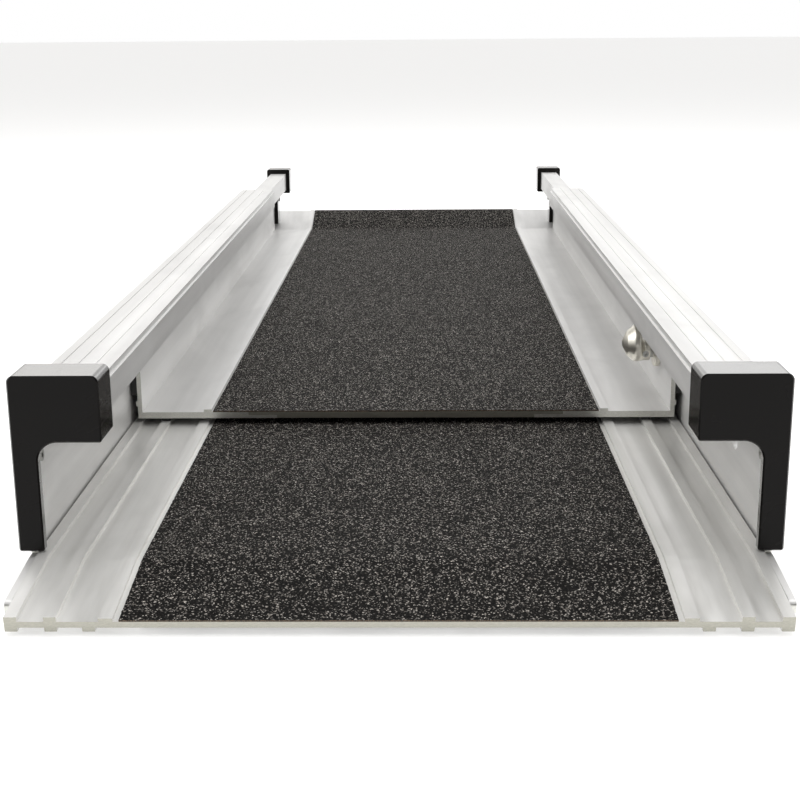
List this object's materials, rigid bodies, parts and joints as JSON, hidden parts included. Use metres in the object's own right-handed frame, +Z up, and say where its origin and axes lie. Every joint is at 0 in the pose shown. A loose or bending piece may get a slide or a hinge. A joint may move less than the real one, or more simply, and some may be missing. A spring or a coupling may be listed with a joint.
{
  "type": "telescopic dog ramp",
  "caption": "Two-section sliding aluminium dog ramp with side rails, grit-covered floors, bent lips, end caps and a spring lock pin.",
  "frame": {"origin": "on the ground, under the middle of the outer section", "axes": "+X to the right seen from the low end, +Y along the ramp from its low end to its high end, +Z up"},
  "size_m": [0.402, 1.2617, 0.113],
  "materials": {
    "ribbed_aluminium": "mill",
    "rail_aluminium": "mill",
    "floor_aluminium": "mill",
    "rivet_aluminium": "satin",
    "grit": "coarse mineral grit",
    "cap_plastic": "satin",
    "guide_plastic": "smooth",
    "rubber": "matt",
    "steel": "zinc plated",
    "knob_metal": "satin nickel",
    "spring_steel": "bright"
  },
  "bodies": {
    "outer_section": {"outer_deck": "ribbed_aluminium", "outer_left_rail": "rail_aluminium", "outer_right_rail": "rail_aluminium", "outer_grip_tape": "grit", "front_left_cap": "cap_plastic", "front_right_cap": "cap_plastic", "front_cap_screws": "steel", "outer_deck_screws": "steel", "ground_pad": "rubber", "floor_pads": "rubber", "travel_stops": "guide_plastic", "travel_stop_screws": "steel", "support_strips": "guide_plastic"},
    "inner_section": {"inner_centre_panel": "floor_aluminium", "inner_left_rail": "rail_aluminium", "inner_right_rail": "rail_aluminium", "inner_grip_tape": "grit", "rear_left_cap": "cap_plastic", "rear_right_cap": "cap_plastic", "rear_cap_screws": "steel", "inner_panel_rivets": "rivet_aluminium", "side_glides": "guide_plastic", "floor_glides": "guide_plastic", "glide_screws": "steel", "sill_pad": "rubber", "plunger_housing": "knob_metal", "plunger_nut": "steel"},
    "lock": {"lock_pin": "steel", "lock_knob": "knob_metal", "knob_set_screw": "steel", "plunger_spring": "spring_steel"}
  },
  "joints": [
    {"name": "telescope_slide", "type": "slide", "parent": "outer_section", "child": "inner_section", "axis": [0, 1, 0], "range_m": [-0.218, 0.5]},
    {"name": "lock_pull", "type": "slide", "parent": "inner_section", "child": "lock", "axis": [-1, 0, 0], "range_m": [0, 0.0025], "stiffness_N_per_m": 800, "springref_m": -0.004, "deforming": ["plunger_spring"]}
  ]
}
